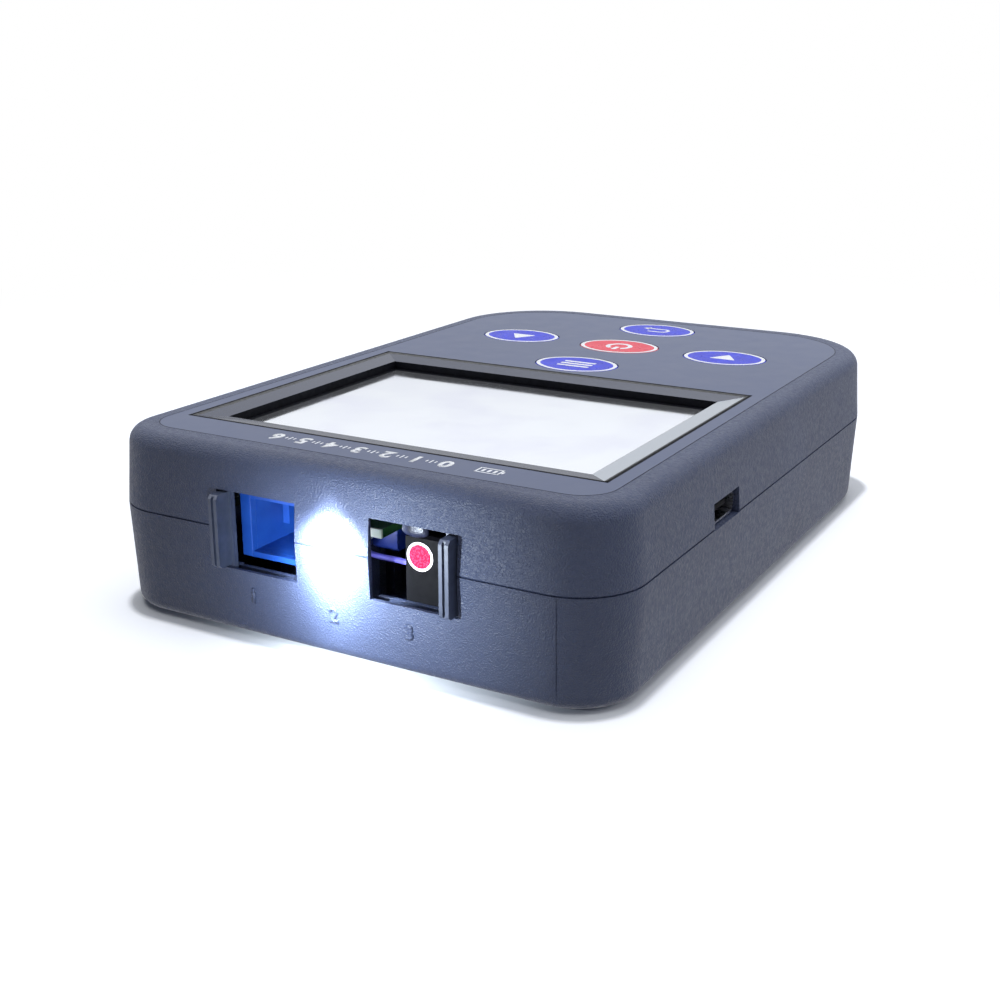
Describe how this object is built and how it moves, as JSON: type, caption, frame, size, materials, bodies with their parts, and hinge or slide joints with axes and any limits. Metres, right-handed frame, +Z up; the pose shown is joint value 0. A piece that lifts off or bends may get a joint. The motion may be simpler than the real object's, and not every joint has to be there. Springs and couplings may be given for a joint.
{
  "type": "optical time domain reflectometer",
  "caption": "Handheld fibre tester: flat two-part case with a screen, oval membrane keys, and shuttered optical ports beside a torch lamp.",
  "frame": {"origin": "under the middle of the whole tester, on the plane its back rests on", "axes": "+Z up out of the screen, -Y towards the port end, +X towards the charging socket"},
  "size_m": [0.08, 0.119, 0.0261],
  "materials": {
    "case_plastic": "fine spark-eroded grain, matte",
    "film": "satin film",
    "key_blue": "satin print with a white rim",
    "key_red": "satin print with a white rim",
    "plunger_plastic": "natural moulding",
    "switch_body": "matte",
    "foam": "matte black foam",
    "lcd_white": "glossy glass over a white picture",
    "white_plastic": "satin",
    "flex_amber": "satin polyimide",
    "connector_cream": "satin",
    "board_green": "solder mask",
    "chip_black": "matte",
    "tinned_steel": "bright tin",
    "led_lens": "clear lens, lit",
    "port_blue": "satin moulding",
    "ceramic": "polished zirconia",
    "boot_white": "matte",
    "fibre_jacket": "smooth jacket",
    "tray_plastic": "natural moulding",
    "machined_aluminium": "milled",
    "black_plastic": "satin black",
    "barrel_white": "white ring",
    "red_glow": "lit by the red laser",
    "gold_can": "gold plate",
    "battery_wrap": "shrink wrap",
    "lead_red": "wire insulation",
    "lead_violet": "wire insulation",
    "shutter_plastic": "satin",
    "screw_steel": "black zinc",
    "brass": "knurled"
  },
  "bodies": {
    "case": {"upper_housing": "case_plastic", "lower_housing": "case_plastic", "keypad_overlay": "film", "tact_switches": "switch_body", "display_gasket": "foam", "lcd_glass": "lcd_white", "lcd_backlight": "white_plastic", "lcd_foam_pads": "foam", "lcd_flex": "flex_amber", "flex_connector": "connector_cream", "main_board": "board_green", "board_chips": "chip_black", "shield_can": "tinned_steel", "led_torch": "led_lens", "led_holder": "port_blue", "sc_adapter": "port_blue", "sc_sleeve": "ceramic", "sc_plug": "port_blue", "sc_ferrule": "ceramic", "sc_boot": "boot_white", "fibre_pigtail": "fibre_jacket", "fibre_tray": "tray_plastic", "optical_engine": "machined_aluminium", "vfl_holder": "black_plastic", "vfl_barrel": "barrel_white", "vfl_sleeve": "red_glow", "vfl_laser_diode": "gold_can", "vfl_screws": "screw_steel", "vfl_lead": "lead_violet", "usb_shell": "tinned_steel", "usb_tongue": "black_plastic", "battery_pack": "battery_wrap", "battery_foam": "foam", "battery_socket": "connector_cream", "battery_leads": "lead_red", "case_screws": "screw_steel", "threaded_inserts": "brass", "board_screws": "screw_steel"},
    "shutter_left": {"shutter_left": "shutter_plastic"},
    "shutter_right": {"shutter_right": "shutter_plastic"},
    "key_left": {"key_left": "key_blue", "key_plunger_left": "plunger_plastic", "switch_button_left": "plunger_plastic"},
    "key_right": {"key_right": "key_blue", "key_plunger_right": "plunger_plastic", "switch_button_right": "plunger_plastic"},
    "key_front": {"key_front": "key_blue", "key_plunger_front": "plunger_plastic", "switch_button_front": "plunger_plastic"},
    "key_rear": {"key_rear": "key_blue", "key_plunger_rear": "plunger_plastic", "switch_button_rear": "plunger_plastic"},
    "key_centre": {"key_centre": "key_red", "key_plunger_centre": "plunger_plastic", "switch_button_centre": "plunger_plastic"}
  },
  "joints": [
    {"name": "shutter_left_slide", "type": "slide", "parent": "case", "child": "shutter_left", "axis": [1, 0, 0], "range_m": [0, 0.0113]},
    {"name": "shutter_right_slide", "type": "slide", "parent": "case", "child": "shutter_right", "axis": [-1, 0, 0], "range_m": [0, 0.0113]},
    {"name": "key_left_press", "type": "slide", "parent": "case", "child": "key_left", "axis": [0, 0, -1], "range_m": [0, 0.00035], "stiffness_N_per_m": 900},
    {"name": "key_right_press", "type": "slide", "parent": "case", "child": "key_right", "axis": [0, 0, -1], "range_m": [0, 0.00035], "stiffness_N_per_m": 900},
    {"name": "key_front_press", "type": "slide", "parent": "case", "child": "key_front", "axis": [0, 0, -1], "range_m": [0, 0.00035], "stiffness_N_per_m": 900},
    {"name": "key_rear_press", "type": "slide", "parent": "case", "child": "key_rear", "axis": [0, 0, -1], "range_m": [0, 0.00035], "stiffness_N_per_m": 900},
    {"name": "key_centre_press", "type": "slide", "parent": "case", "child": "key_centre", "axis": [0, 0, -1], "range_m": [0, 0.00035], "stiffness_N_per_m": 900}
  ]
}
